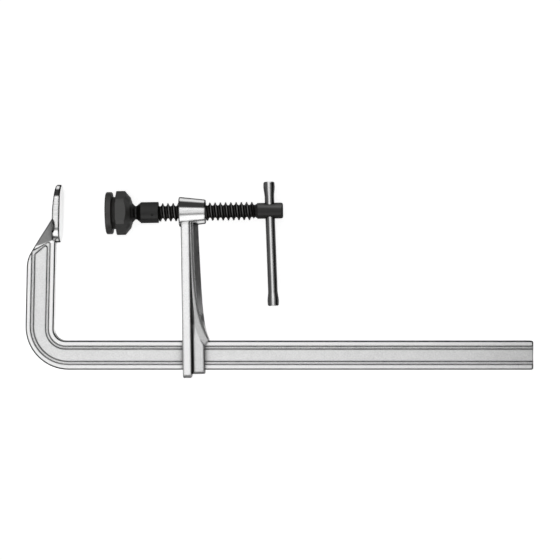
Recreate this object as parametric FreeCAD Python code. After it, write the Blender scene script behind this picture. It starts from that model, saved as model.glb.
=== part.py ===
import FreeCAD, Part
import math
import os
from FreeCAD import Placement, Rotation, Vector

# All-steel screw clamp, lying on its side. Millimetres.
# Origin: on the fixed jaw's clamping face, in line with the spindle. +X runs along the rail to
# its free end, +Y from the rail towards the spindle, +Z up from the surface the clamp lies on.
# The sliding arm, spindle, pad and tommy bar are drawn in the arm's own frame, in which X is the
# spindle's axis and X = 0 is the end of the boss that faces the jaw.

# Rail: a forged bar with an I-shaped section, bent up into the fixed leg
THROAT = 133.2
RAIL_REACH = 489.8
RAIL_HEIGHT = 30.0
RAIL_THICKNESS = 15.0
RAIL_BEVEL = 1.2
RAIL_BEVEL_DEPTH = 1.0
RAIL_END_ROUND = 2.0
LEG_WIDTH = 29.2
LEG_LEAN = 1.2
LEG_SETBACK = 4.7
BEND_INNER_RADIUS = 12.2
BEND_OUTER_RADIUS = 44.7

# Channel pressed into each side of the rail and leg: two low steps with a ledge between them
CHANNEL_STEP_WIDTH = 0.8
CHANNEL_STEP_DEPTH = 0.75
CHANNEL_LEDGE_WIDTH = 2.3
CHANNEL_LEDGE_DROP = 0.2
CHANNEL_BAR_FLANGE = 5.1
CHANNEL_LEG_BACK_FLANGE = 4.6
CHANNEL_LEG_FRONT_FLANGE = 5.0
CHANNEL_END_ROUND = 1.8

# Fixed jaw plate and the wedge that backs it
JAW_THICKNESS = 7.9
JAW_TOP_THICKNESS = 5.4
JAW_TAPER_START = 3.0
JAW_HALF_HEIGHT = 28.8
JAW_LOWER_HEIGHT = 31.3
JAW_HALF_WIDTH = 17.0
JAW_BEVEL = 1.1
SCOOP_RADIUS = 16.0
SCOOP_BITE = 4.2
SCOOP_DOWN = -15.3
SCOOP_FLOOR = 6.0
WEDGE_TOP = -3.6
WEDGE_ANGLE = 29.7
WEDGE_ROUND = 30.0
WEDGE_SIDE_ANGLE = 14.0
RIDGE_BACK = -40.5
RIDGE_FRONT = -29.5

# Sliding arm
ARM_REST = 122.2
ARM_RISE = 0.4
ARM_LEAN = 0.9
BOSS_LENGTH = 28.1
BOSS_FRONT_RADIUS = 15.7
BOSS_REAR_RADIUS = 12.7
BOSS_EDGE_ROUND = 1.4
FLANGE_SETBACK = 2.0
FLANGE_WIDTH = 9.4
FLANGE_HALF_THICKNESS = 12.5
FLANGE_TOP_HALF_THICKNESS = 10.4
FLANGE_BEVEL = 1.0
FLANGE_FOOT_BEVEL = 3.0
WEB_HALF_THICKNESS = 9.2
WEB_DRAFT = 14.0
WEB_SWELL = 4.2
WEB_SWELL_CURVE = 37.0
WEB_GROOVE_WIDTH = 3.85
RIDGE_STEP_WIDTH = 1.1
RIDGE_STEP_DEPTH = 1.2
RIDGE_LEDGE_WIDTH = 0.9
RIDGE_LEDGE_DROP = 0.15
RIDGE_SHARE = 0.3
SPINE_HALF_THICKNESS = 3.2
SPINE_TOP = 19.4
SPINE_TAPER = 0.033
NOSE_REACH = 29.3
NOSE_DROP = 7.0
NOSE_CHIN = 2.0
NOSE_HEIGHT_ABOVE_RAIL = 1.6
NOSE_CURVE = 16.3
RIDGE_TOP = 12.6
RIDGE_CURVE = 27.0
WEB_SECTIONS = 8
BOX_REACH = 24.9
BOX_ARCH = 8.0
BOX_SHOULDER = 4.6
BOX_SHOULDER_ROUND = 4.0
BOX_TIP_SHARE = 0.36
BOX_TIP_ROUND = 1.0
BOX_GROOVE_BEND = 6.0
BOX_GROOVE_ROUND = 8.0
BOX_FOOT_BEVEL = 2.2
BOX_FOOT_ROUND = 0.8
BOX_REAR_SHARE = 0.35
BOX_LEVELS = ((4.0, 0), (1.6, 1.2), (0.4, 2.4), (0, 3.6))
BOX_FACE = 12.2
HEEL_THICKNESS = 7.8
TOE_THICKNESS = 3.8
SLOT_CLEARANCE = 0.5
SLOT_SIDE_CLEARANCE = 0.35

# Spindle
THREAD_CREST_RADIUS = 9.5
THREAD_ROOT_RADIUS = 6.45
THREAD_PITCH = 5.45
THREAD_CREST_WIDTH = 0.9
THREAD_KNEE_WIDTH = 2.6
THREAD_KNEE = 0.3
THREAD_FOOT_WIDTH = 5.0
THREAD_SINK = 0.16
THREAD_POINTS = 12
THREAD_TOP_CREST = 75.9
THREAD_END = 79.2
THREAD_LEAD_IN = 1.0
BORE_CLEARANCE = 0.35
HEAD_RADIUS = 8.3
HEAD_NECK = 1.8
HEAD_LENGTH = 27.4
HEAD_ROUND = 1.9
HEAD_BEVEL = 0.8
BAR_HOLE_INSET = 13.8

# Ball stud, pinned to the tip of the spindle
SLEEVE_RADIUS = 11.0
SLEEVE_REAR = -21.0
SLEEVE_LENGTH = 18.2
SLEEVE_TAPER_LENGTH = 4.6
SLEEVE_BEVEL = 0.5
WAIST_RADIUS = 7.1
BALL_RADIUS = 12.5
BALL_FROM_TAPER = 11.8
BALL_BANDS = 9
SPIGOT_RADIUS = 6.0
SPIGOT_LENGTH = 15.5
SPIGOT_BEVEL = 0.6
RUNNING_CLEARANCE = 0.1
END_CLEARANCE = 0.3
PIN_RADIUS = 1.2
PIN_CLEARANCE = 0.3
PIN_FROM_REAR = 6.2
PIN_ANGLE = 15.0
PIN_RECESS = 0.8
GROOVE_DEPTH = 1.6
PIN_BITE = 1.0

# Pad: pressure plate screwed into a hexagon nut that holds the ball
BALL_CLEARANCE = 0.3
NUT_ACROSS_FLATS = 41.5
NUT_TURNED_RADIUS = 22.9
NUT_FRONT_FROM_BALL = 9.2
NUT_CHAMFER_FROM_BALL = 0.1
NUT_SHOULDER_FROM_BALL = 5.6
NUT_SHOULDER_RADIUS = 16.2
NUT_MOUTH_RADIUS = 10.6
NUT_FRONT_BEVEL = 0.6
NUT_LIP = 0.8
NUT_TURN = 3.0
PLATE_RADIUS = 22.0
PLATE_THICKNESS = 6.6
PLATE_GAP = 4.0
PLATE_BEVEL = 0.9
SEAT_ANGLE = 60.0
HUB_RADIUS = 16.8
HUB_THREAD_RADIUS = 15.0
HUB_THREAD_LENGTH = 6.4
HUB_THREAD_CLEARANCE = 0.1

# Tommy bar
BAR_RADIUS = 5.0
BAR_LENGTH = 129.0
BAR_ABOVE_AXIS = 30.0
BAR_LEAN = 1.2
BAR_HOLE_CLEARANCE = 0.45
BAR_END_LENGTH = 15.0
BAR_END_SWELL = ((0, -0.4), (0.07, 0.8), (0.35, 1.0), (0.55, 0.75), (0.8, 0.25), (1, 0))

EASE_NEAR = 0.3
EASE_FAR = 0.7
OVERLAP = 1.0
ON_PLANE = 1e-4

RAIL_TOP = -THROAT
RAIL_BOTTOM = RAIL_TOP - RAIL_HEIGHT
SLEEVE_FRONT = SLEEVE_REAR - SLEEVE_LENGTH
BALL_CENTRE = SLEEVE_FRONT - SLEEVE_TAPER_LENGTH - BALL_FROM_TAPER
NUT_FRONT = BALL_CENTRE - NUT_FRONT_FROM_BALL
PLATE_BACK = NUT_FRONT - PLATE_GAP
PLATE_FACE = PLATE_BACK - PLATE_THICKNESS
X_AXIS = Vector(1, 0, 0)
Y_AXIS = Vector(0, 1, 0)
Z_AXIS = Vector(0, 0, 1)
ORIGIN = Vector(0, 0, 0)


def rounded_outline(corners, z=0.0):
    """Closed wire through (x, y, radius) corners, each corner rounded by its radius."""
    count = len(corners)
    joints = []
    for index, (x, y, radius) in enumerate(corners):
        corner = Vector(x, y, z)
        before = Vector(*corners[index - 1][:2], z) - corner
        after = Vector(*corners[(index + 1) % count][:2], z) - corner
        half = before.getAngle(after) / 2
        before.normalize()
        after.normalize()
        reach = radius / math.tan(half)
        bisector = (before + after).normalize()
        middle = corner + bisector * (radius / math.sin(half) - radius)
        joints.append((corner + before * reach, middle, corner + after * reach, radius))
    edges = []
    for index, (start, middle, end, radius) in enumerate(joints):
        if radius > 0:
            edges.append(Part.Arc(start, middle, end).toShape())
        edges.append(Part.LineSegment(end, joints[(index + 1) % count][0]).toShape())
    return Part.Wire(edges)


def plate(corners, low, high):
    """Solid of a rounded outline between two heights."""
    face = Part.Face(rounded_outline(corners, low))
    return face.extrude(Vector(0, 0, high - low))


def turned(profile):
    """Solid turned about the X axis from a closed (x, radius) profile."""
    points = [Vector(x, radius, 0) for x, radius in profile]
    face = Part.Face(Part.makePolygon(points + points[:1]))
    return face.revolve(ORIGIN, X_AXIS, 360)


def eased(x, radius, ease, side):
    """Two-step easing of a turned corner, as (x, radius) points from the rim inwards.

    side is 1 where the material ends towards +X and -1 where it ends towards -X.
    """
    near, far = EASE_NEAR * ease, EASE_FAR * ease
    return [(x - side * ease, radius), (x - side * near, radius - near), (x, radius - far - near)]


def rod(radius, start, end):
    """Cylinder on the X axis."""
    return Part.makeCylinder(radius, end - start, Vector(start, 0, 0), X_AXIS)


def edges_at(shape, test):
    return [edge for edge in shape.Edges if test(edge)]


def on_face(edge, height):
    """True for an edge that lies in the plane z = height or z = -height."""
    box = edge.BoundBox
    return abs(abs(box.ZMin) - height) < ON_PLANE and box.ZLength < ON_PLANE


def both_sides(shape):
    """The shape and its mirror image in the clamp's middle plane."""
    return shape.fuse(shape.mirror(ORIGIN, Z_AXIS))


def leg_point(across, along, radius=0.0):
    """Corner in the leaning leg's frame: across from the jaw face, along the leg from its centre."""
    lean = math.radians(LEG_LEAN)
    x = across * math.cos(lean) + along * math.sin(lean)
    y = along * math.cos(lean) - across * math.sin(lean)
    return (x, y, radius)


def leg_foot(across, height, radius):
    """Corner where a line along the leg meets the level line y = height."""
    lean = math.radians(LEG_LEAN)
    along = (height + across * math.sin(lean)) / math.cos(lean)
    return leg_point(across, along, radius)


def channel_outline(inset, depth):
    """Outline of the pressed channel, drawn in by inset, at this depth below the side face."""
    back = -LEG_SETBACK - LEG_WIDTH + CHANNEL_LEG_BACK_FLANGE + inset
    front = -LEG_SETBACK - CHANNEL_LEG_FRONT_FLANGE - inset
    low = RAIL_BOTTOM + CHANNEL_BAR_FLANGE + inset
    high = RAIL_TOP - CHANNEL_BAR_FLANGE - inset
    outer = BEND_OUTER_RADIUS - CHANNEL_BAR_FLANGE - inset
    inner = BEND_INNER_RADIUS + CHANNEL_BAR_FLANGE + inset
    beyond = RAIL_REACH + RAIL_HEIGHT
    corners = [
        (beyond, low, 0),
        (beyond, high, 0),
        leg_foot(front, high, inner),
        leg_point(front, RIDGE_FRONT - inset, CHANNEL_END_ROUND),
        leg_point(back, RIDGE_BACK - inset, CHANNEL_END_ROUND),
        leg_foot(back, low, outer),
    ]
    return rounded_outline(corners, RAIL_THICKNESS / 2 - depth)


def rail_channel():
    """Cutter for the channel on the upper side, from above the side face down to its floor."""
    step, depth = CHANNEL_STEP_WIDTH, CHANNEL_STEP_DEPTH
    ledge, drop = CHANNEL_LEDGE_WIDTH, CHANNEL_LEDGE_DROP
    levels = [
        (-step, -depth),
        (step, depth),
        (step + ledge, depth + drop),
        (2 * step + ledge, 2 * depth + drop),
    ]
    return Part.makeLoft([channel_outline(inset, down) for inset, down in levels], True, True)


def jaw_plate():
    """Oval plate with its clamping face on x = 0, thinner at the top, before it takes the leg's lean."""
    high = JAW_HALF_HEIGHT - JAW_HALF_WIDTH
    low = JAW_HALF_WIDTH - JAW_LOWER_HEIGHT
    back = -JAW_THICKNESS
    oval = Part.makeBox(
        JAW_THICKNESS, high - low, 2 * JAW_HALF_WIDTH, Vector(back, low, -JAW_HALF_WIDTH)
    )
    for end in (high, low):
        oval = oval.fuse(Part.makeCylinder(JAW_HALF_WIDTH, JAW_THICKNESS, Vector(back, end, 0), X_AXIS))
    taper = [
        (back - OVERLAP, JAW_TAPER_START, 0),
        (back, JAW_TAPER_START, 0),
        (-JAW_TOP_THICKNESS, JAW_HALF_HEIGHT, 0),
        (-JAW_TOP_THICKNESS, JAW_HALF_HEIGHT + OVERLAP, 0),
        (back - OVERLAP, JAW_HALF_HEIGHT + OVERLAP, 0),
    ]
    oval = oval.removeSplitter().cut(plate(taper, -2 * JAW_HALF_WIDTH, 2 * JAW_HALF_WIDTH))

    def on_rim(edge):
        box = edge.BoundBox
        front = box.XLength < ON_PLANE and box.XMax > -ON_PLANE
        fold = box.YLength < ON_PLANE and box.ZLength > JAW_HALF_WIDTH
        return front or (box.XMax < ON_PLANE - JAW_TOP_THICKNESS and not fold)

    oval = oval.makeChamfer(JAW_BEVEL, edges_at(oval, on_rim))
    scoop = jaw_scoop()
    oval = oval.cut(scoop).cut(scoop.mirror(ORIGIN, Z_AXIS))
    oval.rotate(ORIGIN, Z_AXIS, -LEG_LEAN)
    return oval


def jaw_scoop():
    """Ball cutter that hollows the back of the plate beside the wedge, on the upper side."""
    centre = Vector(SCOOP_BITE - JAW_THICKNESS - SCOOP_RADIUS, SCOOP_DOWN, SCOOP_FLOOR + SCOOP_RADIUS)
    return Part.makeSphere(SCOOP_RADIUS, centre)


def wedge_side():
    """Cutter that slants the upper side of the wedge down from its ridge to its outer edge."""
    low = Vector(*leg_point(-LEG_SETBACK - LEG_WIDTH, RIDGE_BACK)[:2], RAIL_THICKNESS / 2)
    high = Vector(*leg_point(-LEG_SETBACK, RIDGE_FRONT)[:2], RAIL_THICKNESS / 2)
    ridge = high - low
    size = 2 * LEG_WIDTH
    block = Part.makeBox(2 * size, size, size, Vector(-size / 2, 0, 0))
    block.rotate(ORIGIN, X_AXIS, -WEDGE_SIDE_ANGLE)
    block.rotate(ORIGIN, Z_AXIS, math.degrees(math.atan2(ridge.y, ridge.x)))
    block.translate(low)
    return block


def make_rail():
    """Bar, bend, leg, wedge and jaw plate, forged as one piece."""
    leg_back = -LEG_SETBACK - LEG_WIDTH
    slope = math.tan(math.radians(WEDGE_ANGLE))
    inside = -JAW_THICKNESS / 2
    wedge_foot = WEDGE_TOP - (-JAW_THICKNESS - leg_back) / slope
    wedge_tip = WEDGE_TOP + (inside + JAW_THICKNESS) / slope
    corners = [
        (RAIL_REACH, RAIL_BOTTOM, RAIL_END_ROUND),
        (RAIL_REACH, RAIL_TOP, RAIL_END_ROUND),
        leg_foot(-LEG_SETBACK, RAIL_TOP, BEND_INNER_RADIUS),
        leg_point(-LEG_SETBACK, WEDGE_TOP),
        leg_point(inside, wedge_tip),
        leg_point(leg_back, wedge_foot, WEDGE_ROUND),
        leg_foot(leg_back, RAIL_BOTTOM, BEND_OUTER_RADIUS),
    ]
    half = RAIL_THICKNESS / 2
    body = plate(corners, -half, half)
    side = wedge_side()
    body = body.cut(side).cut(side.mirror(ORIGIN, Z_AXIS))
    body = body.makeChamfer(RAIL_BEVEL_DEPTH, RAIL_BEVEL, edges_at(body, lambda edge: on_face(edge, half)))
    channel = rail_channel()
    body = body.cut(channel).cut(channel.mirror(ORIGIN, Z_AXIS))
    return body.fuse(jaw_plate()).removeSplitter()


def to_clamp(shape):
    """Moves a shape from the arm's frame to the clamp's."""
    placed = shape.copy()
    arm_frame = Placement(Vector(ARM_REST, ARM_RISE, 0), Rotation(Z_AXIS, ARM_LEAN))
    placed.Placement = arm_frame.multiply(shape.Placement)
    return placed


def slot_middle():
    """Height of the rail's middle in the arm's frame, under the middle of the lower box."""
    lean = math.radians(ARM_LEAN)
    rail_middle = RAIL_TOP - RAIL_HEIGHT / 2 - ARM_RISE
    along = (FLANGE_SETBACK + BOX_REACH) / 2
    return (rail_middle - along * math.sin(lean)) / math.cos(lean)


SLOT_TOP = slot_middle() + RAIL_HEIGHT / 2 + SLOT_CLEARANCE
SLOT_BOTTOM = slot_middle() - RAIL_HEIGHT / 2 - SLOT_CLEARANCE
NOSE_Y = SLOT_TOP + NOSE_HEIGHT_ABOVE_RAIL
BOX_BOTTOM = SLOT_BOTTOM - TOE_THICKNESS
FLANGE_BOTTOM = SLOT_BOTTOM - HEEL_THICKNESS


def spine_x(y):
    """Rear outline of the arm: a slight taper that sweeps out into the nose."""
    straight = SPINE_TOP - SPINE_TAPER * y
    sweep = NOSE_REACH - SPINE_TOP + SPINE_TAPER * NOSE_Y
    return straight + sweep * math.exp((NOSE_Y - y) / NOSE_CURVE)


def ridge_x(y):
    """Ridge where the web meets the rear bevel. It nears the spine at the nose."""
    return RIDGE_TOP + (NOSE_REACH - RIDGE_STEP_WIDTH - RIDGE_TOP) * math.exp((NOSE_Y - y) / RIDGE_CURVE)


def web_side(y, end):
    """Side of the web at one height, as (x, z): groove by the flange, crown, draft down to the end."""
    root = FLANGE_SETBACK + FLANGE_WIDTH
    groove = min(WEB_GROOVE_WIDTH, (end - root) / 2)
    crown = WEB_HALF_THICKNESS + WEB_SWELL * math.exp((NOSE_Y - y) / WEB_SWELL_CURVE)
    draft = (end - root - groove) * math.tan(math.radians(WEB_DRAFT))
    return [
        (FLANGE_SETBACK + FLANGE_WIDTH / 2, WEB_HALF_THICKNESS),
        (root, WEB_HALF_THICKNESS),
        (root + groove, crown),
        (end, crown - draft),
    ]


def web_section(y, rear, ridge):
    """Section of the web at one height: its side, ridge with a step and a ledge, and rear bevel."""
    room = rear - ridge
    step = min(RIDGE_STEP_WIDTH, RIDGE_SHARE * room)
    ledge = min(RIDGE_LEDGE_WIDTH, RIDGE_SHARE * room)
    side = web_side(y, ridge)
    foot = side[-1][1] - RIDGE_STEP_DEPTH
    half = side + [
        (ridge + step, foot),
        (ridge + step + ledge, foot - RIDGE_LEDGE_DROP),
        (rear, SPINE_HALF_THICKNESS),
    ]
    points = half + [(x, -z) for x, z in reversed(half)]
    return Part.makePolygon([Vector(x, y, z) for x, z in points + points[:1]])


def arm_web():
    """Web with a bevelled back, from inside the boss down to the nose."""
    top = -BOSS_REAR_RADIUS
    heights = [top + (NOSE_Y - top) * step / WEB_SECTIONS for step in range(WEB_SECTIONS + 1)]
    sections = [web_section(y, spine_x(y), ridge_x(y)) for y in heights]
    web = Part.makeLoft(sections, True, False)
    stub = web_section(0, spine_x(top), ridge_x(top))
    web = web.fuse(Part.makeLoft([stub, sections[0]], True, True))
    face = Vector(0, NOSE_Y, -BOX_FACE)
    return web.common(Part.makeBox(2 * NOSE_REACH, -NOSE_Y, 2 * BOX_FACE, face))


def box_pad(sunk, inset):
    """Outline of the raised box round the rail, this far under its face and drawn in by inset."""
    left = FLANGE_SETBACK + FLANGE_WIDTH + inset
    right = BOX_REACH - BOX_REAR_SHARE * inset
    shoulder = SLOT_TOP - BOX_SHOULDER
    corners = [
        (left, BOX_BOTTOM, 0),
        (right, BOX_BOTTOM, 0),
        (right, shoulder, BOX_SHOULDER_ROUND),
        (left + BOX_TIP_SHARE * (right - left), SLOT_TOP + BOX_ARCH - inset, BOX_TIP_ROUND),
        (left, shoulder + BOX_GROOVE_BEND, BOX_GROOVE_ROUND),
    ]
    return rounded_outline(corners, BOX_FACE - sunk)


def across_arm(outline, start, length):
    """Solid along the spindle's direction from a (y, z) outline."""
    points = [Vector(start, y, z) for y, z in outline]
    return Part.Face(Part.makePolygon(points + points[:1])).extrude(Vector(length, 0, 0))


def arm_box():
    """Box that wraps the rail: core block, nose and a raised pad on each side."""
    front = FLANGE_SETBACK + FLANGE_WIDTH / 2
    core_corners = [
        (front, BOX_BOTTOM, 0),
        (BOX_REACH, BOX_BOTTOM, BOX_FOOT_ROUND),
        (BOX_REACH, NOSE_Y - NOSE_DROP, BOX_SHOULDER_ROUND),
        (NOSE_REACH, NOSE_Y - NOSE_CHIN, NOSE_CHIN / 2),
        (NOSE_REACH, NOSE_Y, 0),
        (front, NOSE_Y, 0),
    ]
    side = web_side(NOSE_Y, NOSE_REACH)
    points = [Vector(x, BOX_BOTTOM, z) for x, z in side + [(x, -z) for x, z in reversed(side)]]
    nose = Part.Face(Part.makePolygon(points + points[:1])).extrude(Vector(0, NOSE_Y - BOX_BOTTOM, 0))
    core = plate(core_corners, -BOX_FACE, BOX_FACE).common(nose)
    pad = Part.makeLoft([box_pad(*level) for level in BOX_LEVELS], True, True)
    corner = across_arm([
        (BOX_BOTTOM - OVERLAP, BOX_FACE + OVERLAP),
        (BOX_BOTTOM - OVERLAP, BOX_FACE - BOX_FOOT_BEVEL - OVERLAP),
        (BOX_BOTTOM + BOX_FOOT_BEVEL + OVERLAP, BOX_FACE + OVERLAP),
    ], 0, 2 * BOX_REACH)
    box = core.fuse(both_sides(pad))
    return box.cut(corner).cut(corner.mirror(ORIGIN, Z_AXIS))


def arm_flange():
    """Front flange, thicker towards the rail, with a deep bevel round its foot."""
    foot = FLANGE_HALF_THICKNESS - FLANGE_FOOT_BEVEL
    half = [
        (0, FLANGE_TOP_HALF_THICKNESS),
        (FLANGE_BOTTOM + FLANGE_FOOT_BEVEL, FLANGE_HALF_THICKNESS),
        (FLANGE_BOTTOM, foot),
    ]
    flange = across_arm(half + [(y, -z) for y, z in reversed(half)], FLANGE_SETBACK, FLANGE_WIDTH)

    def below_boss(edge):
        box = edge.BoundBox
        return box.XLength < ON_PLANE and box.YMin < -BOSS_REAR_RADIUS

    return flange.makeChamfer(FLANGE_BEVEL, edges_at(flange, below_boss))


def make_arm():
    """Boss, front flange, web and rail box, forged as one piece."""
    front_rim = eased(0, BOSS_FRONT_RADIUS, BOSS_EDGE_ROUND, -1)
    rear_rim = eased(BOSS_LENGTH, BOSS_REAR_RADIUS, BOSS_EDGE_ROUND, 1)
    boss = turned([(0, 0)] + front_rim[::-1] + rear_rim + [(BOSS_LENGTH, 0)])
    arm = boss.fuse([arm_flange(), arm_web(), arm_box()])
    slot = Part.makeBox(
        3 * BOX_REACH,
        SLOT_TOP - SLOT_BOTTOM,
        RAIL_THICKNESS + 2 * SLOT_SIDE_CLEARANCE,
        Vector(-BOX_REACH, SLOT_BOTTOM, -RAIL_THICKNESS / 2 - SLOT_SIDE_CLEARANCE),
    )
    bore = rod(THREAD_CREST_RADIUS + BORE_CLEARANCE, -BOSS_LENGTH, 2 * BOSS_LENGTH)
    return arm.cut([slot, bore]).removeSplitter()


SPINDLE_SHOULDER = SLEEVE_REAR + END_CLEARANCE
HEAD_START = THREAD_END + HEAD_NECK
SPIGOT_TIP = SPINDLE_SHOULDER - SPIGOT_LENGTH
PIN_X = SLEEVE_REAR - PIN_FROM_REAR
BAR_HOLE_X = HEAD_START + HEAD_LENGTH - BAR_HOLE_INSET


def helix_point(x, radius, angle):
    """Point on a right-hand helix about the X axis. Angle 0 is on top, on the +Y side."""
    along = x + THREAD_PITCH * angle / (2 * math.pi)
    return Vector(along, radius * math.cos(angle), radius * math.sin(angle))


def helix_turn(x, radius):
    """One turn of a helix as a smooth curve."""
    step = 2 * math.pi / THREAD_POINTS
    curve = Part.BSplineCurve()
    curve.interpolate([helix_point(x, radius, step * index) for index in range(THREAD_POINTS + 1)])
    return curve.toShape()


def thread_section():
    """Section of the thread ridge as (x, radius): a narrow crest on broad feet sunk into the core."""
    height = THREAD_CREST_RADIUS - THREAD_ROOT_RADIUS
    half = [
        (THREAD_FOOT_WIDTH / 2, THREAD_ROOT_RADIUS - THREAD_SINK * height),
        (THREAD_KNEE_WIDTH / 2, THREAD_ROOT_RADIUS + THREAD_KNEE * height),
        (THREAD_CREST_WIDTH / 2, THREAD_CREST_RADIUS),
    ]
    return [(-x, radius) for x, radius in half] + [(x, radius) for x, radius in reversed(half)]


def thread_turn(start):
    """One turn of the thread ridge, its crest on top of the axis at x = start."""
    section = thread_section()
    curves = [helix_turn(start + x, radius) for x, radius in section]
    faces = [Part.makeRuledSurface(curve, curves[index - 1]) for index, curve in enumerate(curves)]
    for angle in (0, 2 * math.pi):
        corners = [helix_point(start + x, radius, angle) for x, radius in section]
        faces.append(Part.Face(Part.makePolygon(corners + corners[:1])))
    shell = Part.Shell(faces)
    shell.sewShape()
    turn = Part.Solid(shell)
    if turn.Volume < 0:
        turn.reverse()
    return turn


def threaded_core():
    """Threaded length, its crests tapered off at both ends."""
    count = math.ceil((THREAD_END - SPINDLE_SHOULDER) / THREAD_PITCH) + 2
    turns = [thread_turn(THREAD_TOP_CREST + (1 - index) * THREAD_PITCH) for index in range(count)]
    beyond = 3 * THREAD_PITCH
    core = rod(THREAD_ROOT_RADIUS, SPINDLE_SHOULDER - beyond, THREAD_END + beyond)
    outside = THREAD_CREST_RADIUS + OVERLAP
    envelope = turned([
        (SPINDLE_SHOULDER, 0),
        (SPINDLE_SHOULDER, THREAD_CREST_RADIUS - THREAD_LEAD_IN),
        (SPINDLE_SHOULDER + OVERLAP + THREAD_LEAD_IN, outside),
        (THREAD_END + THREAD_ROOT_RADIUS - outside, outside),
        (THREAD_END, THREAD_ROOT_RADIUS),
        (THREAD_END, 0),
    ])
    return core.fuse(turns).common(envelope)


def spindle_head():
    """Plain head for the tommy bar, with its neck down to the thread's root."""
    head_end = HEAD_START + HEAD_LENGTH
    rim = eased(head_end, HEAD_RADIUS, HEAD_ROUND, 1)
    return turned([
        (THREAD_END, 0),
        (THREAD_END, THREAD_ROOT_RADIUS),
        (HEAD_START, HEAD_RADIUS - HEAD_BEVEL),
        (HEAD_START + HEAD_BEVEL, HEAD_RADIUS),
    ] + rim + [(head_end, 0)])


def spindle_spigot():
    """Turned tip that the ball stud's sleeve runs on."""
    return turned([
        (SPIGOT_TIP, 0),
        (SPIGOT_TIP, SPIGOT_RADIUS - SPIGOT_BEVEL),
        (SPIGOT_TIP + SPIGOT_BEVEL, SPIGOT_RADIUS),
        (SPINDLE_SHOULDER, SPIGOT_RADIUS),
        (SPINDLE_SHOULDER, 0),
    ])


def make_spindle():
    groove = PIN_RADIUS + PIN_CLEARANCE
    ring = rod(2 * SPIGOT_RADIUS, PIN_X - groove, PIN_X + groove)
    ring = ring.cut(rod(SPIGOT_RADIUS - GROOVE_DEPTH, PIN_X - groove, PIN_X + groove))
    hole = Part.makeCylinder(
        BAR_RADIUS + BAR_HOLE_CLEARANCE, 4 * HEAD_RADIUS, Vector(BAR_HOLE_X, -2 * HEAD_RADIUS, 0), Y_AXIS
    )
    return threaded_core().fuse([spindle_spigot(), spindle_head()]).cut([ring, hole])


def pin_axis():
    angle = math.radians(PIN_ANGLE)
    return Vector(0, -math.sin(angle), math.cos(angle))


def make_ball_stud():
    """Ball, waist and sleeve turned as one piece, bored for the spindle's spigot."""
    neck_angle = math.asin(WAIST_RADIUS / BALL_RADIUS)
    ball = []
    for index in range(BALL_BANDS + 1):
        angle = math.pi - index * (math.pi - neck_angle) / BALL_BANDS
        ball.append((BALL_CENTRE + BALL_RADIUS * math.cos(angle), BALL_RADIUS * math.sin(angle)))
    stud = turned(ball + [
        (SLEEVE_FRONT - SLEEVE_TAPER_LENGTH, WAIST_RADIUS),
        (SLEEVE_FRONT, SLEEVE_RADIUS),
        (SLEEVE_REAR - SLEEVE_BEVEL, SLEEVE_RADIUS),
        (SLEEVE_REAR, SLEEVE_RADIUS - SLEEVE_BEVEL),
        (SLEEVE_REAR, 0),
    ])
    bore = rod(SPIGOT_RADIUS + RUNNING_CLEARANCE, SPIGOT_TIP - END_CLEARANCE, SLEEVE_REAR + OVERLAP)
    pin_hole = Part.makeCylinder(PIN_RADIUS, 2 * SLEEVE_RADIUS, Vector(PIN_X, 0, 0), pin_axis())
    return stud.cut(bore).cut(pin_hole)


def make_stud_pin():
    """Radial pin, pressed into the sleeve just below its surface, that rides in the spigot's groove."""
    inner = SPIGOT_RADIUS - PIN_BITE
    axis = pin_axis()
    start = Vector(PIN_X, 0, 0) + axis * inner
    return Part.makeCylinder(PIN_RADIUS, SLEEVE_RADIUS - PIN_RECESS - inner, start, axis)


def seat_point(angle, radius):
    """X where a cone that touches the ball's clearance at this angle from the axis has this radius."""
    touch = BALL_RADIUS + BALL_CLEARANCE
    return BALL_CENTRE + (touch - radius * math.sin(angle)) / math.cos(angle)


def nut_rear():
    """Rear face of the nut, where its conical seat touches the ball's clearance."""
    touch = BALL_RADIUS + BALL_CLEARANCE
    return BALL_CENTRE + math.sqrt(touch**2 - NUT_MOUTH_RADIUS**2)


def make_pad_nut():
    """Hexagon nut, turned at both ends, with a threaded bore and a ball seat."""
    corner = NUT_ACROSS_FLATS / math.sqrt(3)
    ring = []
    for index in range(6):
        angle = math.radians(90 + 60 * index + NUT_TURN)
        ring.append(Vector(NUT_FRONT, corner * math.sin(angle), corner * math.cos(angle)))
    prism = Part.Face(Part.makePolygon(ring + ring[:1])).extrude(Vector(nut_rear() - NUT_FRONT, 0, 0))
    envelope = turned([
        (NUT_FRONT, 0),
        (NUT_FRONT, NUT_TURNED_RADIUS - NUT_FRONT_BEVEL),
        (NUT_FRONT + NUT_FRONT_BEVEL, NUT_TURNED_RADIUS),
        (BALL_CENTRE - NUT_CHAMFER_FROM_BALL, NUT_TURNED_RADIUS),
        (BALL_CENTRE + NUT_SHOULDER_FROM_BALL, NUT_SHOULDER_RADIUS),
        (nut_rear(), NUT_MOUTH_RADIUS + NUT_LIP),
        (nut_rear(), 0),
    ])
    bore_radius = HUB_THREAD_RADIUS + HUB_THREAD_CLEARANCE
    touch_angle = math.asin(NUT_MOUTH_RADIUS / (BALL_RADIUS + BALL_CLEARANCE))
    bore = turned([
        (NUT_FRONT - OVERLAP, 0),
        (NUT_FRONT - OVERLAP, bore_radius),
        (seat_point(touch_angle, bore_radius), bore_radius),
        (nut_rear(), NUT_MOUTH_RADIUS),
        (nut_rear() + OVERLAP, NUT_MOUTH_RADIUS),
        (nut_rear() + OVERLAP, 0),
    ])
    return prism.common(envelope).cut(bore)


def seat_radius(x):
    """Radius at x of the plate's cone, which touches the ball's clearance SEAT_ANGLE from the axis."""
    angle = math.radians(SEAT_ANGLE)
    touch = BALL_RADIUS + BALL_CLEARANCE
    return (touch + (x - BALL_CENTRE) * math.cos(angle)) / math.sin(angle)


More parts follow.
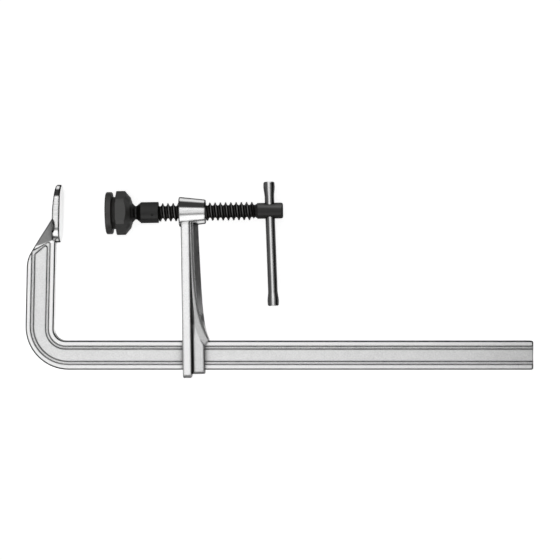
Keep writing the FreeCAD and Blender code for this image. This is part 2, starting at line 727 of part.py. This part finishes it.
def make_pressure_plate():
    """Disc and hub in one piece. The hub screws into the nut and closes the ball's seat."""
    hub_end = NUT_FRONT + HUB_THREAD_LENGTH
    seat_floor = BALL_CENTRE - BALL_RADIUS - BALL_CLEARANCE
    return turned([
        (PLATE_FACE, 0),
        (PLATE_FACE, PLATE_RADIUS - PLATE_BEVEL),
        (PLATE_FACE + PLATE_BEVEL, PLATE_RADIUS),
        (PLATE_BACK - PLATE_BEVEL, PLATE_RADIUS),
        (PLATE_BACK, PLATE_RADIUS - PLATE_BEVEL),
        (PLATE_BACK, HUB_RADIUS),
        (NUT_FRONT, HUB_RADIUS),
        (NUT_FRONT, HUB_THREAD_RADIUS),
        (hub_end, HUB_THREAD_RADIUS),
        (hub_end, seat_radius(hub_end)),
        (seat_floor, seat_radius(seat_floor)),
        (seat_floor, 0),
    ])


def make_tommy_bar():
    """Round bar with both ends swaged thicker after it was put through the head."""
    low = BAR_ABOVE_AXIS - BAR_LENGTH
    end = [(share * BAR_END_LENGTH, BAR_RADIUS + swell) for share, swell in BAR_END_SWELL]
    lower = [(low + x, radius) for x, radius in end]
    upper = [(BAR_ABOVE_AXIS - x, radius) for x, radius in reversed(end)]
    bar = turned([(low, 0)] + lower + upper + [(BAR_ABOVE_AXIS, 0)])
    bar.rotate(ORIGIN, Z_AXIS, 90 + BAR_LEAN)
    bar.translate(Vector(BAR_HOLE_X, 0, 0))
    return bar


def export(name, shape):
    solids = shape.Solids
    assert len(solids) == 1 and shape.isValid(), (name, len(solids), shape.isValid())
    solids[0].exportStep(f"parts/{name}.step")


def main():
    os.makedirs("parts", exist_ok=True)
    export("rail", make_rail())
    export("sliding_arm", to_clamp(make_arm()))
    export("spindle", to_clamp(make_spindle()))
    export("ball_stud", to_clamp(make_ball_stud()))
    export("stud_pin", to_clamp(make_stud_pin()))
    export("pad_nut", to_clamp(make_pad_nut()))
    export("pressure_plate", to_clamp(make_pressure_plate()))
    export("tommy_bar", to_clamp(make_tommy_bar()))


main()
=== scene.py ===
import math

import bpy
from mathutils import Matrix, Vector


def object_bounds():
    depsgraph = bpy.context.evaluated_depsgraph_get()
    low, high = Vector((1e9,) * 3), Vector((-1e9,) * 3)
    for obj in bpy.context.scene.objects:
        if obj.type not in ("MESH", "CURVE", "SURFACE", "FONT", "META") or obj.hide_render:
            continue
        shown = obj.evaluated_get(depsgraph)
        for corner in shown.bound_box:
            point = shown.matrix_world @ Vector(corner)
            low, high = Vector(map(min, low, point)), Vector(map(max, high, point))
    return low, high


# Screw clamp lying on its side on a white table, seen from straight above. Metres.

CAMERA_HEIGHT = 1.8
CAMERA_SEES_TO = 20.0
VIEW_CENTRE = (0.2273, -0.0702)
METRES_ACROSS_VIEW = 0.5824
SENSOR_WIDTH = 36.0

WHITE = (1, 1, 1, 1)
TABLE_SIZE = 3.0
TABLE_COLOUR = (0.9, 0.9, 0.9, 1)
TABLE_OWN_WHITE = 0.84
CARD_COLOUR = (0.01, 0.01, 0.01, 1)

# Height of the direction, from 0 to 1, at which the white surroundings start to fade and end.
SURROUNDINGS_FADE = (0.84, 0.95)
SURROUNDINGS_LIGHT = 0.03

# Painted shade in recesses and under things: how far a surface looks for what shuts it in,
# the shares of open air at which it is darkest and gone, and the painted shades of the metals'
# colour and of the blacks' gloss where it is darkest.
RECESS_REACH = 0.012
RECESS_SHARES = (0.4, 0.9)
PLATED_RECESS = 0.2
BLACK_RECESS = 0.35

# Radii over which edges are rounded for the shaders.
FINE_EDGE = 0.0008
WIDE_EDGE = 0.0027
BLACK_EDGE = 0.0003

# Masks on one part of a normal, which pick the faces that get painted shade and painted
# reflections: where each starts and is full, then where it fades and ends.
SLANTED = ((0.2, 0.4), (0.88, 0.95))
OUTLINED = ((0.2, 0.4), (0.9, 0.95))
SLOPED = ((0.2, 0.4), (0.972, 0.99))
WIDE_CORNER = ((0.3, 0.42), (0.88, 0.95))
TURNED_UP = ((0.2, 0.32), (0.65, 0.77))
TURNED_DOWN = ((0.06, 0.15), (0.22, 0.34))
BAR_SIDES = ((0.08, 0.33), (0.9, 0.97))
# Masks without an upper end, the widths over which long slopes' masks start and end, and where
# the X of a normal no longer counts as facing -X.
SQUARE_TO_Y = (0.88, 0.95)
SQUARE_TO_X = (0.9, 0.98)
LONG_SLOPE_FADES = (0.01, 0.008)
LEAVES_MINUS_X = (-0.5, -0.2)

# Painted shades where a mask is full: 1 changes nothing, 0 is black.
CORNER_SHADE = 0.15
TURNED_UP_SHADE = 0.05
TURNED_DOWN_SHADE = 0.6
BAR_SIDES_SHADE = 0.1

# Grazing reflection of the metals, kept low to paint shade at their outlines, and that of the
# forgings on faces square to X.
PLATED_TINT = 0.1
SQUARE_TINT = 0.9

# Widths over which the forgings' zones change, and how far the painted dark outlines reach past
# the zones.
BRUSHED_FADES = (0.0008, 0.003)
GROUND_FADES = (0.0003, 0.0005)
OUTLINE_BELOW_FLATS = (0.0016, 0.0014)
OUTLINE_BEFORE_BRUSHED = (0.006, 0.005)

# How the forgings' looks vary, from the lowest to the highest of the noise.
MOTTLE = (0.80, 0.92)
CLOUDS = (0.95, 1.05)
GRIT = (0.70, 1.30)
BRUSH_LINES = (0.8, 1.2)
FORGED_ROUGHNESS = (0.30, 0.46)
BRUSHED_ROUGHNESS = 0.22
# Bumps of the forgings: their heights, and their strengths on the skin and on brushed steel.
LUMP_HEIGHT = 0.0006
LUMP_STRENGTHS = (0.3, 0.03)
GRIT_HEIGHT = 0.0002
GRIT_STRENGTHS = (0.5, 0.08)

# How the looks of the black pieces and the bar vary.
BLACK_PATCHES = (0.7, 1.35)
BLACK_ROUGHNESS_VARIES = (0.07, 0.10)
BAR_PATCHES = (0.74, 0.92)
BAR_ROUGHNESS = (0.16, 0.34)
# The turns from the eye between which the gloss of the blacks falls off as painted shade at their
# outlines, and how far it falls.
BLACK_GRAZING = (0.12, 0.5, 0.1)
# Width over which worn black steel begins.
WORN_FADES = 0.0005


def maker_for(tree):
    """Returns a function that adds a node to the tree.

    An input given as a socket is linked. Anything else is set as the input's value.
    """

    def add(kind, inputs=None, **settings):
        node = tree.nodes.new(kind)
        for key, value in settings.items():
            setattr(node, key, value)
        for key, value in (inputs or {}).items():
            if isinstance(value, bpy.types.NodeSocket):
                tree.links.new(value, node.inputs[key])
            else:
                node.inputs[key].default_value = value
        return node

    return add


def new_material(name):
    """Empty material. Returns it, the maker of its nodes and the setter of its surface."""
    material = bpy.data.materials.new(name)
    material.use_nodes = True
    tree = material.node_tree
    tree.nodes.clear()
    output = tree.nodes.new("ShaderNodeOutputMaterial")

    def set_surface(socket):
        tree.links.new(socket, output.inputs["Surface"])

    return material, maker_for(tree), set_surface


def ramp(add, value, start, end, low=0.0, high=1.0):
    """Maps start to end on low to high, held at both ends."""
    return add("ShaderNodeMapRange", {
        "Value": value, "From Min": start, "From Max": end, "To Min": low, "To Max": high,
    }).outputs["Result"]


def scaled(add, share, low, high):
    """Maps a share of 0 to 1 on low to high."""
    return ramp(add, share, 0.0, 1.0, low, high)


def blend(add, share, low, high):
    """Mixes two values or sockets by a share of 0 to 1."""
    return add("ShaderNodeMix", {"Factor": share, "A": low, "B": high}).outputs["Result"]


def product(add, first, second):
    return add("ShaderNodeMath", {0: first, 1: second}, operation="MULTIPLY").outputs["Value"]


def larger(add, first, second):
    return add("ShaderNodeMath", {0: first, 1: second}, operation="MAXIMUM").outputs["Value"]


def magnitude(add, value):
    return add("ShaderNodeMath", {0: value}, operation="ABSOLUTE").outputs["Value"]


def grey_of(add, value):
    channels = {"Red": value, "Green": value, "Blue": value}
    return add("ShaderNodeCombineColor", channels).outputs["Color"]


def noise(add, place, scale, detail, **inputs):
    """Noise of about 0 to 1, with this many cells to the metre."""
    inputs = {"Vector": place, "Scale": scale, "Detail": detail, **inputs}
    return add("ShaderNodeTexNoise", inputs).outputs["Fac"]


def bumped(add, height, strength, distance, **inputs):
    """Normal of a surface with this height on it."""
    inputs = {"Height": height, "Strength": strength, "Distance": distance, **inputs}
    return add("ShaderNodeBump", inputs).outputs["Normal"]


def rounded(add, radius):
    """Normal of a surface whose edges are rounded."""
    return add("ShaderNodeBevel", {"Radius": radius}, samples=4).outputs["Normal"]


def own_parts(add, normal):
    """Parts of the normal along the piece's own axes."""
    turned = add("ShaderNodeVectorTransform", {"Vector": normal}, vector_type="NORMAL",
                 convert_from="WORLD", convert_to="OBJECT").outputs["Vector"]
    return add("ShaderNodeSeparateXYZ", {"Vector": turned}).outputs


def band(add, part, rise, fall):
    """1 between the end of the rise and the start of the fall, 0 outside both."""
    return product(add, ramp(add, part, *rise), ramp(add, part, fall[1], fall[0]))


def shaded(add, share, darkest):
    """1, down to the darkest where the share is 1."""
    return blend(add, share, 1.0, darkest)


def painted_recess_shade(add, darkest):
    """Painted shade: 1 on open faces, down to the darkest in narrow recesses and close under
    things.
    """
    sky = add("ShaderNodeAmbientOcclusion", {"Distance": RECESS_REACH}, samples=8).outputs["AO"]
    return ramp(add, sky, *RECESS_SHARES, darkest, 1.0)


def grazing(add, start, end, darkest):
    """Falls from 1 to the darkest as a face turns away from the eye. For gloss only, as painted
    shade at the outlines.
    """
    facing = add("ShaderNodeLayerWeight", {"Blend": 0.5}).outputs["Facing"]
    return ramp(add, facing, start, end, 1.0, darkest)


def seen_share(add):
    """1 for rays that show the surroundings to the eye or in the metal, 0 for the rest."""
    rays = add("ShaderNodeLightPath")
    seen = rays.outputs["Is Camera Ray"]
    for kind in ("Is Glossy Ray", "Is Transmission Ray"):
        seen = larger(add, seen, rays.outputs[kind])
    return seen


def brushed_painted_shade(add, fine, wide):
    """Painted shade and painted reflections of brushed steel: dark corners and mirrored dark
    bands.
    """
    corner = larger(add, band(add, magnitude(add, fine["X"]), *SLANTED),
                    band(add, magnitude(add, wide["X"]), *WIDE_CORNER))
    turned_up = larger(add, band(add, fine["Y"], *TURNED_UP),
                       ramp(add, magnitude(add, fine["Y"]), *SQUARE_TO_Y))
    turned_down = band(add, product(add, fine["Y"], -1.0), *TURNED_DOWN)
    faint = shaded(add, turned_down, TURNED_DOWN_SHADE)
    strong = product(add, shaded(add, corner, CORNER_SHADE),
                     shaded(add, turned_up, TURNED_UP_SHADE))
    return product(add, strong, faint)


def forged_painted_shade(add, fine, bevel, ground, bevel_shades, slope_shade, long_slopes, long_shades):
    """Painted shade of the forging's slanted faces. The arguments are those of forged_steel."""
    flat = own_parts(add, add("ShaderNodeNewGeometry").outputs["True Normal"])
    lowest, highest = long_slopes
    fade_in, fade_out = LONG_SLOPE_FADES
    long_slope = band(add, magnitude(add, flat["Z"]), (lowest - fade_in, lowest),
                      (highest, highest + fade_out))
    long_shade = blend(add, ramp(add, flat["X"], *LEAVES_MINUS_X), *long_shades)
    short_shade = blend(add, ground, *bevel_shades)
    beveled = shaded(add, bevel, blend(add, long_slope, short_shade, long_shade))
    slope = band(add, magnitude(add, fine["Z"]), *SLOPED)
    return product(add, beveled, shaded(add, slope, slope_shade))


def forged_steel(name, brushed_past, ground_past, greys, bevel_shades, slope_shade,
                 long_slopes, long_shades):
    """Plated forging: sandy skin, ground flats, brushed steel and painted shade on slanted faces.

    brushed_past: the X and Y past which the steel is brushed.
    ground_past: the distance from the middle plane past which the flats are ground, and the X
        at which they end.
    greys: of the skin, the flats and the brushed steel.
    bevel_shades: painted shades of steep faces of the skin and of the ground flats.
    slope_shade: painted shade of all slanted faces, on top of the other shades.
    long_slopes: lowest and highest Z of the normal of slopes that have painted shades of their
    own.
    long_shades: those painted shades, where the slopes face -X and elsewhere.
    """
    material, add, set_surface = new_material(name)
    place = add("ShaderNodeTexCoord").outputs["Object"]
    grain = noise(add, place, scale=900.0, detail=3.0, Roughness=0.6)
    mottle = noise(add, place, scale=160.0, detail=4.0, Roughness=0.55)
    cloud = noise(add, place, scale=22.0, detail=2.0)
    along = add("ShaderNodeMapping", {"Vector": place, "Scale": (0.05, 1.0, 1.0)})
    brush = noise(add, along.outputs["Vector"], scale=800.0, detail=2.0)
    at = add("ShaderNodeSeparateXYZ", {"Vector": place}).outputs
    depth = magnitude(add, at["Z"])
    edge = rounded(add, FINE_EDGE)
    fine = own_parts(add, edge)
    wide = own_parts(add, rounded(add, WIDE_EDGE))

    brushed_x, brushed_y = brushed_past
    flats_depth, flats_end = ground_past
    polish = product(add, ramp(add, at["X"], brushed_x - BRUSHED_FADES[0], brushed_x),
                     ramp(add, at["Y"], brushed_y - BRUSHED_FADES[1], brushed_y))
    ground = product(add, ramp(add, depth, flats_depth - GROUND_FADES[0], flats_depth),
                     ramp(add, at["X"], flats_end + GROUND_FADES[1], flats_end))
    # Painted dark outlines near the edges of the ground flats and of the brushed steel.
    near_flats = ramp(add, depth, *(flats_depth - below for below in OUTLINE_BELOW_FLATS))
    near_brushed = ramp(add, at["Y"], *(brushed_y - before for before in OUTLINE_BEFORE_BRUSHED))
    outline = product(add, larger(add, near_flats, near_brushed),
                      band(add, magnitude(add, wide["Z"]), *OUTLINED))
    bevel = larger(add, outline, band(add, magnitude(add, fine["Z"]), *SLANTED))
    forged = forged_painted_shade(add, fine, bevel, ground, bevel_shades, slope_shade,
                          long_slopes, long_shades)
    shade = blend(add, polish, forged, brushed_painted_shade(add, fine, wide))

    skin_grey, flats_grey, brushed_grey = greys
    plain = product(add, blend(add, ground, skin_grey, flats_grey), scaled(add, grain, *GRIT))
    brushed = product(add, scaled(add, brush, *BRUSH_LINES), brushed_grey)
    plating = product(add, scaled(add, mottle, *MOTTLE), scaled(add, cloud, *CLOUDS))
    grey = product(add, plating, blend(add, polish, plain, brushed))
    # Painted shade on slanted faces and outlines, painted reflections on the brushed steel, and
    # painted shade in recesses.
    grey = product(add, product(add, grey, shade), painted_recess_shade(add, PLATED_RECESS))
    # Grazing reflection kept low as painted shade at the outlines, except on faces square to X.
    square = ramp(add, magnitude(add, fine["X"]), *SQUARE_TO_X)
    tint = blend(add, square, PLATED_TINT, SQUARE_TINT)
    rough = blend(add, polish, scaled(add, mottle, *FORGED_ROUGHNESS), BRUSHED_ROUGHNESS)
    lumps = bumped(add, mottle, scaled(add, polish, *LUMP_STRENGTHS), LUMP_HEIGHT, Normal=edge)
    skin = bumped(add, grain, scaled(add, polish, *GRIT_STRENGTHS), GRIT_HEIGHT, Normal=lumps)
    shader = add("ShaderNodeBsdfPrincipled", {
        "Base Color": grey_of(add, grey), "Specular Tint": grey_of(add, tint),
        "Metallic": 1.0, "Roughness": rough, "Normal": skin,
    })
    set_surface(shader.outputs["BSDF"])
    return material


def black_steel(name, base, roughness, gloss, worn_past=1.0, worn_gloss=1.0):
    """Black oxide on turned steel: near-black with a dull sheen, cut as painted shade in recesses
    and at the outlines.

    worn_past: the distance from the X axis past which the gloss is worn_gloss.
    """
    material, add, set_surface = new_material(name)
    place = add("ShaderNodeTexCoord").outputs["Object"]
    fine = noise(add, place, scale=1400.0, detail=3.0)
    patch = noise(add, place, scale=120.0, detail=3.0)
    smoother, rougher = BLACK_ROUGHNESS_VARIES
    rough = scaled(add, patch, roughness - smoother, roughness + rougher)
    colour = add("ShaderNodeVectorMath", {0: base, "Scale": scaled(add, patch, *BLACK_PATCHES)},
                 operation="SCALE").outputs["Vector"]
    skin = bumped(add, fine, strength=0.35, distance=0.00012, Normal=rounded(add, BLACK_EDGE))
    at = add("ShaderNodeSeparateXYZ", {"Vector": place}).outputs
    off_axis = add("ShaderNodeCombineXYZ", {"Y": at["Y"], "Z": at["Z"]}).outputs["Vector"]
    radius = add("ShaderNodeVectorMath", {0: off_axis}, operation="LENGTH").outputs["Value"]
    worn = ramp(add, radius, worn_past - WORN_FADES, worn_past)
    # Painted shade on the gloss in recesses and toward the outlines.
    dull = product(add, painted_recess_shade(add, BLACK_RECESS), grazing(add, *BLACK_GRAZING))
    sheen = product(add, dull, blend(add, worn, gloss, worn_gloss))
    shader = add("ShaderNodeBsdfPrincipled", {
        "Base Color": colour, "Metallic": 0.0, "Roughness": rough,
        "Specular IOR Level": sheen, "Normal": skin,
    })
    set_surface(shader.outputs["BSDF"])
    return material


def plated_bar(name):
    """Bright plating over a bar drawn along Y, with faint lines, cloudy patches and painted shade
    on its sides.
    """
    material, add, set_surface = new_material(name)
    place = add("ShaderNodeTexCoord").outputs["Object"]
    along = add("ShaderNodeMapping", {"Vector": place, "Scale": (1.0, 0.03, 1.0)})
    lines = noise(add, along.outputs["Vector"], scale=1500.0, detail=3.0)
    patch = noise(add, place, scale=90.0, detail=4.0)
    normal = own_parts(add, add("ShaderNodeNewGeometry").outputs["Normal"])
    # Painted shade on the sides that face X, and in recesses.
    sides = band(add, magnitude(add, normal["X"]), *BAR_SIDES)
    shade = product(add, shaded(add, sides, BAR_SIDES_SHADE), painted_recess_shade(add, PLATED_RECESS))
    grey = product(add, scaled(add, patch, *BAR_PATCHES), shade)
    shader = add("ShaderNodeBsdfPrincipled", {
        "Base Color": grey_of(add, grey),
        "Specular Tint": (PLATED_TINT, PLATED_TINT, PLATED_TINT, 1),
        "Metallic": 1.0, "Roughness": scaled(add, patch, *BAR_ROUGHNESS),
        "Normal": bumped(add, lines, strength=0.25, distance=0.0001),
    })
    set_surface(shader.outputs["BSDF"])
    return material


def table_top():
    """White table. Part of its white is its own, so that the clamp's shadow on it stays faint."""
    material, add, set_surface = new_material("table_top")
    own_white = scaled(add, seen_share(add), 0.0, TABLE_OWN_WHITE)
    white = add("ShaderNodeEmission", {"Color": WHITE, "Strength": own_white})
    lit = add("ShaderNodeBsdfDiffuse", {"Color": TABLE_COLOUR})
    both = add("ShaderNodeAddShader", {0: lit.outputs["BSDF"], 1: white.outputs["Emission"]})
    set_surface(both.outputs["Shader"])
    return material


def card_felt(name):
    """Dull black."""
    material, add, set_surface = new_material(name)
    set_surface(add("ShaderNodeBsdfDiffuse", {"Color": CARD_COLOUR}).outputs["BSDF"])
    return material


def stage_panel(name, corners, material, hidden_from=()):
    """Four-cornered sheet that belongs to the stage, hidden from these kinds of rays."""
    mesh = bpy.data.meshes.new(name)
    mesh.from_pydata(corners, [], [(0, 1, 2, 3)])
    mesh.materials.append(material)
    panel = bpy.data.objects.new(name, mesh)
    for kind in hidden_from:
        setattr(panel, "visible_" + kind, False)
    bpy.context.scene.collection.objects.link(panel)


def make_table(height):
    half = TABLE_SIZE / 2
    x, y = VIEW_CENTRE
    corners = [(x - half, y - half, height), (x + half, y - half, height),
               (x + half, y + half, height), (x - half, y + half, height)]
    stage_panel("table", corners, table_top())


def dark_card(name, start, end, low, high):
    """Upright dark card outside the picture, seen only in the metal."""
    corners = [(*start, low), (*end, low), (*end, high), (*start, high)]
    stage_panel(name, corners, card_felt(name),
                hidden_from=("camera", "diffuse", "shadow", "transmission", "volume_scatter"))


def make_camera():
    """Camera that looks straight down."""
    data = bpy.data.cameras.new("camera")
    data.sensor_width = SENSOR_WIDTH
    data.lens = SENSOR_WIDTH * CAMERA_HEIGHT / METRES_ACROSS_VIEW
    data.clip_end = CAMERA_SEES_TO
    camera = bpy.data.objects.new("camera", data)
    camera.location = (*VIEW_CENTRE, CAMERA_HEIGHT)
    bpy.context.scene.collection.objects.link(camera)
    bpy.context.scene.camera = camera


def make_world():
    """White all round for the eye and in the metal, dark overhead, and hardly a lamp itself."""
    world = bpy.data.worlds.new("studio")
    world.use_nodes = True
    tree = world.node_tree
    add = maker_for(tree)
    sky = tree.nodes["Background"]
    sky.inputs["Color"].default_value = WHITE
    toward = add("ShaderNodeTexCoord").outputs["Generated"]
    height = add("ShaderNodeSeparateXYZ", {"Vector": toward}).outputs["Z"]
    around = ramp(add, height, *SURROUNDINGS_FADE, 1.0, 0.0)
    strength = blend(add, seen_share(add), SURROUNDINGS_LIGHT, around)
    tree.links.new(strength, sky.inputs["Strength"])
    bpy.context.scene.world = world


def softbox(name, place, target, size, radiance):
    """Rectangular lamp that faces the target and shows this brightness in a mirror."""
    data = bpy.data.lights.new(name, "AREA")
    data.shape = "RECTANGLE"
    data.size, data.size_y = size
    data.energy = radiance * math.pi * size[0] * size[1]
    lamp = bpy.data.objects.new(name, data)
    lamp.location = place
    aim = Vector(target) - Vector(place)
    lamp.rotation_euler = aim.to_track_quat("-Z", "Y").to_euler()
    lamp.visible_camera = False
    bpy.context.scene.collection.objects.link(lamp)


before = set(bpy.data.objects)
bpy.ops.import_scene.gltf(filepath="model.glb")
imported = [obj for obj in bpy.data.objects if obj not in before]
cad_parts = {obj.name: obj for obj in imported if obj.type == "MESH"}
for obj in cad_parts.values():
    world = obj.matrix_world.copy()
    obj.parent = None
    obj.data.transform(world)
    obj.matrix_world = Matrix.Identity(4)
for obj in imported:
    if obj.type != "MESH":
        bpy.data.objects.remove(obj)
cad_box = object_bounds()
table_height = cad_box[0].z

make_camera()
make_world()
softbox("overhead", place=(-0.05, 0.3, 2.7), target=(-0.05, 0.3, 0), size=(2.1, 2.3),
        radiance=0.95)
softbox("wall", place=(0.1, -2.6, 2.05), target=(0.1, 0, 0), size=(2.4, 3.0), radiance=0.3)

looks = {
    "rail": forged_steel(
        "rail_forging", brushed_past=(-0.0082, -0.03), ground_past=(0.0072, 1.0),
        greys=(0.98, 1.3, 1.0), bevel_shades=(0.02, 0.02), slope_shade=0.28,
        long_slopes=(0.71, 0.748), long_shades=(0.02, 0.3)),
    "sliding_arm": forged_steel(
        "arm_forging", brushed_past=(0, -0.011), ground_past=(0.0, 0.135),
        greys=(0.9, 1.12, 0.95), bevel_shades=(0.2, 0.08), slope_shade=0.8,
        long_slopes=(0.5, 0.8), long_shades=(0.48, 0.48)),
    "spindle": black_steel("spindle_black", (0.013, 0.0122, 0.0115), roughness=0.38, gloss=0.42,
                           worn_past=0.0094, worn_gloss=1.35),
    "ball_stud": black_steel("stud_black", (0.010, 0.0095, 0.0092), roughness=0.36, gloss=0.42),
    "stud_pin": black_steel("pin_black", (0.012, 0.0115, 0.011), roughness=0.45, gloss=0.5),
    "pad_nut": black_steel("nut_black", (0.021, 0.020, 0.0185), roughness=0.45, gloss=0.9),
    "pressure_plate": black_steel("plate_black", (0.021, 0.0195, 0.018), roughness=0.42,
                                  gloss=0.75),
    "tommy_bar": plated_bar("bar_plating"),
}
for node, material in looks.items():
    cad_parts[node].material_slots[0].material = material

make_table(table_height)
dark_card("right_card", start=(0.62, -0.6), end=(0.62, 0.5), low=table_height, high=0.3)
dark_card("front_card", start=(-0.4, -0.48), end=(0.9, -0.48), low=table_height, high=0.13)
bpy.context.scene.view_settings.view_transform = "Standard"
